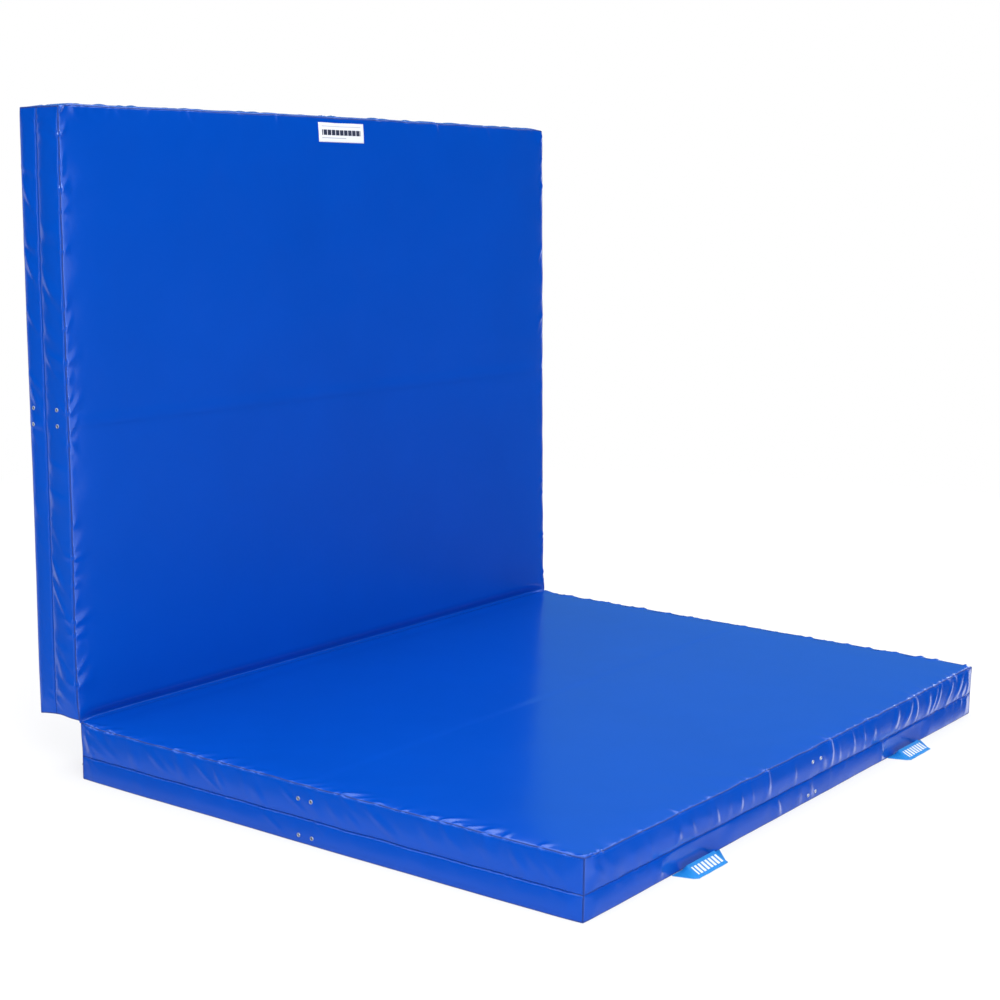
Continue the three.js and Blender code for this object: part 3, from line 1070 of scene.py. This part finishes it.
for panel in panels:
    tape, teeth = zipStrip(panel)
    finish(tape, zipTape, panel, "zip_tape", f"{panel}_zip")
    finish(teeth, zipTeeth, panel, "zip_tape")
    softened(
        f"{panel}_zip_slider", f"{panel}_zip_carriage", f"{panel}_zip_slider", zipMetal, "zip_metal",
        zipSize["soft"],
    )
    post = jointNamed(f"{panel}_zip_pull_swing")["pos_m"]
    lean = math.radians(zipSize["lean"][panel])
    tab = softened(
        f"{panel}_zip_pull", f"{panel}_zip_tab", f"{panel}_zip_pull", zipMetal, "zip_metal",
        zipSize["soft"], post, lean,
    )
    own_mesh(tab)  # the tab keeps its own copy of the mesh
print("zips closed")


# Handles: a strap that leaves the seam, turns and runs along as a grip, and turns back
def handleMesh(panel, side):
    x0, v0, w0 = toPanel(panel, [jointNamed(f"{panel}_handle_{side}_swing")["pos_m"]])[0]
    inner = strap["reach"] - strap["width"]
    gripHalf = strap["gapHalf"] - inner / 2
    cut = strap["cut"]
    leg = [
        ((-strap["gapHalf"], 0), (-strap["seamHalf"], 0), 0.0),
        ((-gripHalf, inner), (-strap["outerHalf"] - cut / 2, strap["reach"] - cut), 0.9),
        ((-gripHalf + 0.002, inner), (cut / 2 - strap["outerHalf"], strap["reach"]), 1.0),
    ]
    other = [((-a[0], a[1]), (-b[0] * (strap["skew"] if b[1] else 1), b[1]), h) for a, b, h in leg[::-1]]
    stations = leg + other
    fine = []
    for (a0, b0, h0), (a1, b1, h1) in zip(stations, stations[1:]):
        span = max(math.dist(a0, a1), math.dist(b0, b1))
        steps = max(2, round(span / 0.004))
        for k in range(steps):
            t = k / steps
            mix = [p * (1 - t) + q * t for p, q in zip((*a0, *b0, h0), (*a1, *b1, h1))]
            fine.append(mix)
    fine.append([*stations[-1][0], *stations[-1][1], stations[-1][2]])
    fine = np.array(fine)
    across = np.linspace(0, 1, 12)
    s = fine[:, 0, None] * (1 - across) + fine[:, 2, None] * across
    o = fine[:, 1, None] * (1 - across) + fine[:, 3, None] * across
    lift = strap["lift"][panel] * smooth(fine[:, 4, None]) * (1 - across) ** 1.2
    ripple = 0.0009 * np.sin(s * 55 + (2 if side == "left" else 0)) * across * smooth(fine[:, 4, None])
    swing = 0.0 if panel == "base" else -math.pi / 2 - turn
    h = lift + np.abs(ripple)
    c, n = math.cos(swing), math.sin(swing)
    points = np.stack([x0 + s, v0 + o * c - h * n, w0 + o * n + h * c], -1).reshape(-1, 3)
    up = (0, -n, c)
    piece = sheetMesh(
        f"{panel}_handle_{side}_strap", toWorld(panel, points), len(fine), len(across), direction(panel, up)
    )
    setUv(piece, s.ravel(), np.broadcast_to(across * strap["width"], s.shape).ravel())
    body = piece.modifiers.new("thickness", "SOLIDIFY")
    body.thickness = strap["thick"]
    body.offset = 0.0
    soft = piece.modifiers.new("soft edges", "BEVEL")
    soft.width = 0.0005
    soft.segments = 2
    soft.limit_method = "ANGLE"
    return piece


for panel in panels:
    for side in ("left", "right"):
        node = f"{panel}_handle_{side}"
        piece = finish(handleMesh(panel, side), webbing, node, "handle_webbing", node)
        under = ["floor"] if panel == "base" else []
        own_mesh(piece)
print("handles made")


# Label at the middle of the flap's free edge, following the cover
def labelPiece():
    low, high = panelBox("flap", "flap_label")
    a, b = (
        g.ravel() for g in np.meshgrid(
            np.linspace(low[0], high[0], 49), np.linspace(low[1], high[1], 15), indexing="ij"
        )
    )
    points = coverPoint("flap", "top", a, b, -0.0012)
    piece = sheetMesh("flap_label_patch", toWorld("flap", points), 49, 15, direction("flap", (0, 0, 1)))
    setUv(piece, (a - low[0]) / (high[0] - low[0]), (b - low[1]) / (high[1] - low[1]))
    piece.modifiers.new("thickness", "SOLIDIFY").thickness = 0.0009
    inset = 0.0022
    xs, vs = (low[0] + inset, high[0] - inset), (low[1] + inset, high[1] - inset)
    corners = [(xs[0], vs[0]), (xs[1], vs[0]), (xs[1], vs[1]), (xs[0], vs[1])]
    rim = []
    for k, count in enumerate((60, 16, 60, 16)):
        start, end = corners[k], corners[(k + 1) % 4]
        rim += zip(np.linspace(start[0], end[0], count), np.linspace(start[1], end[1], count))
    x, v = np.array(rim).T
    path = toWorld("flap", coverPoint("flap", "top", x, v, -0.0014))
    return piece, path


patch, rim = labelPiece()
finish(patch, labelFabric, "flap", "label", "flap_label")
labelStitches = grown(
    "flap_label_stitches", *joinedPaths([rim]), beads, Pitch=0.0035, Length=0.0024, Width=0.0006,
    Height=0.0006, Uneven=0.1, Seed=5, Material=labelThread,
)
finish(labelStitches, labelThread, "flap", "label")
print("label sewn on")

# Floor, light and camera


def lookFrom(place, azimuth, elevation, roll):
    a, e, r = (math.radians(k) for k in (azimuth, elevation, roll))
    back = Vector((math.sin(a) * math.cos(e), -math.cos(a) * math.cos(e), math.sin(e)))
    right = (-back).cross(Vector((0, 0, 1))).normalized()
    up = right.cross(-back)
    level = math.cos(r) * right + math.sin(r) * up
    tilted = math.cos(r) * up - math.sin(r) * right
    matrix = Matrix((level, tilted, back)).transposed().to_4x4()
    matrix.translation = Vector(place)
    return matrix


view = {
    "place": (-4.0496, -2.7531, 1.4957),
    "azimuth": -53.802,
    "elevation": 9.659,
    "roll": 0.986,
    "lens": 67.763,
}
cameraData = bpy.data.cameras.new("camera")
cameraData.lens = view["lens"]
cameraData.sensor_width = 36
camera = bpy.data.objects.new("camera", cameraData)
bpy.context.scene.collection.objects.link(camera)
camera.matrix_world = lookFrom(view["place"], view["azimuth"], view["elevation"], view["roll"])
bpy.context.scene.camera = camera

studio = {
    "floorHalf": 12,
    "overhead": 1.64,
    "horizon": 0.08,
    "rise": (0.2, 0.8),
    "floorShade": 0.95,
    "fade": (2.6, 5.0),  # beyond this the floor blends into the white background
    "leastFade": 0.72,
    "glare": 3.2,  # strength of the brightest panels around the mat, as its gloss sees them
    "dark": (0.0, 0.002, 0.010),
    "sky": (0.80, 0.88, 1.0),
    "ground": (0.13, 0.15, 0.25),
    "haze": (0.030, 0.085, 0.15),
    # bearing, half width and strength of each upright bright panel
    "windows": ((-104, 12, 1.0), (-76, 13, 0.55), (-4, 9, 0.5), (98, 10, 0.3), (186, 9, 0.3)),
}


# What the glossy cover sees: a dark room, pale above and below, with upright bright panels
def surroundings(tree, x, y, z):
    def step(value, low, high):
        node = addNode(tree, "ShaderNodeMapRange", {
            "Value": value, "From Min": low, "From Max": high,
        }, interpolation_type="SMOOTHSTEP")
        return node.outputs["Result"]

    level = maths(tree, "SQRT", maths(tree, "SUBTRACT", 1.0001, maths(tree, "MULTIPLY", z, z)))

    def facing(bearing):
        ux, uy = math.cos(math.radians(bearing)), math.sin(math.radians(bearing))
        along = maths(tree, "ADD", maths(tree, "MULTIPLY", x, ux), maths(tree, "MULTIPLY", y, uy))
        return maths(tree, "DIVIDE", along, level)

    haze = maths(tree, "MULTIPLY", step(facing(37), 0.5, 0.85), step(z, 0.0, 0.12))
    color = mixColors(tree, haze, studio["dark"], studio["haze"])
    color = mixColors(tree, step(z, 0.50, 0.74), color, studio["sky"])
    color = mixColors(tree, step(z, -0.20, -0.46), color, studio["ground"])
    upright = maths(tree, "MULTIPLY", step(z, -0.5, -0.35), step(z, 0.6, 0.45))
    for bearing, wide, strong in studio["windows"]:
        edge = math.cos(math.radians(wide * 1.4)), math.cos(math.radians(wide * 0.7))
        inside = maths(tree, "MULTIPLY", step(facing(bearing), *edge), upright)
        color = mixColors(tree, inside, color, (strong, strong, strong))
    return color


def makeWorld():
    world = bpy.data.worlds.new("studio")
    world.use_nodes = True
    tree = world.node_tree
    background = tree.nodes["Background"]
    coords = tree.nodes.new("ShaderNodeTexCoord")
    split = addNode(tree, "ShaderNodeSeparateXYZ", {"Vector": coords.outputs["Generated"]})
    ramp = addNode(tree, "ShaderNodeMapRange", {
        "Value": split.outputs["Z"], "From Min": studio["rise"][0], "From Max": studio["rise"][1],
        "To Min": studio["horizon"], "To Max": studio["overhead"],
    }, interpolation_type="SMOOTHSTEP")
    rays = tree.nodes.new("ShaderNodeLightPath")
    glossy, direct = rays.outputs["Is Glossy Ray"], rays.outputs["Is Camera Ray"]
    seen = surroundings(tree, *(split.outputs[k] for k in "XYZ"))
    tree.links.new(mixColors(tree, glossy, (1.0, 1.0, 1.0), seen), background.inputs["Color"])
    strength = addNode(tree, "ShaderNodeMix", {0: glossy, 2: ramp.outputs["Result"], 3: studio["glare"]})
    final = addNode(tree, "ShaderNodeMix", {0: direct, 2: strength.outputs[0], 3: 1.0})
    tree.links.new(final.outputs[0], background.inputs["Strength"])
    bpy.context.scene.world = world


def makeFloor():
    f = studio["floorHalf"]
    corners = np.array([(-f, -f, 0), (f, -f, 0), (f, f, 0), (-f, f, 0)])
    piece = newPiece("floor", corners, np.array([[0, 1, 2, 3]]))
    piece.location.z = cadLow.z - 0.0005
    paint, tree, shader = principled("floor_paint", Roughness=0.9)
    shader.inputs["Base Color"].default_value = (*(studio["floorShade"],) * 3, 1)
    place = addNode(tree, "ShaderNodeTexCoord").outputs["Object"]
    far = addNode(tree, "ShaderNodeVectorMath", {0: place}, operation="LENGTH").outputs["Value"]
    fade = addNode(tree, "ShaderNodeMapRange", {
        "Value": far, "From Min": studio["fade"][0], "From Max": studio["fade"][1],
    }, interpolation_type="SMOOTHSTEP").outputs["Result"]
    rays = tree.nodes.new("ShaderNodeLightPath")
    pale = maths(tree, "MAXIMUM", fade, studio["leastFade"])
    amount = maths(tree, "MULTIPLY", pale, rays.outputs["Is Camera Ray"])
    white = addNode(tree, "ShaderNodeEmission", {"Color": (1, 1, 1, 1), "Strength": 1.0})
    mixed = addNode(tree, "ShaderNodeMixShader", {0: amount, 1: shader.outputs[0], 2: white.outputs[0]})
    tree.links.new(mixed.outputs[0], tree.nodes["Material Output"].inputs["Surface"])
    piece.data.materials.append(paint)
    piece.visible_glossy = False
    piece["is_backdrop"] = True


def softbox(name, place, target, width, height, power):
    data = bpy.data.lights.new(name, "AREA")
    data.energy = power
    data.shape = "RECTANGLE"
    data.size, data.size_y = width, height
    light = bpy.data.objects.new(name, data)
    light.location = place
    light.rotation_euler = (Vector(target) - Vector(place)).to_track_quat("-Z", "Y").to_euler()
    bpy.context.scene.collection.objects.link(light)


makeWorld()
makeFloor()
softbox("key", (-4.5, -4.5, 4.5), (0, 0.3, 0.5), 2.5, 2.5, 200)
softbox("front", (-2.0, -6.6, 1.6), (0, 0, 0.5), 1.2, 2.6, 34)
softbox("right", (7.3, 0.4, 1.6), (0, 0, 0.5), 1.2, 2.6, 34)
softbox("left", (-6.6, -0.6, 1.7), (0, 0, 0.5), 1.2, 2.6, 30)
bpy.context.scene.view_settings.view_transform = "Standard"

low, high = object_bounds()
print("scene ready")
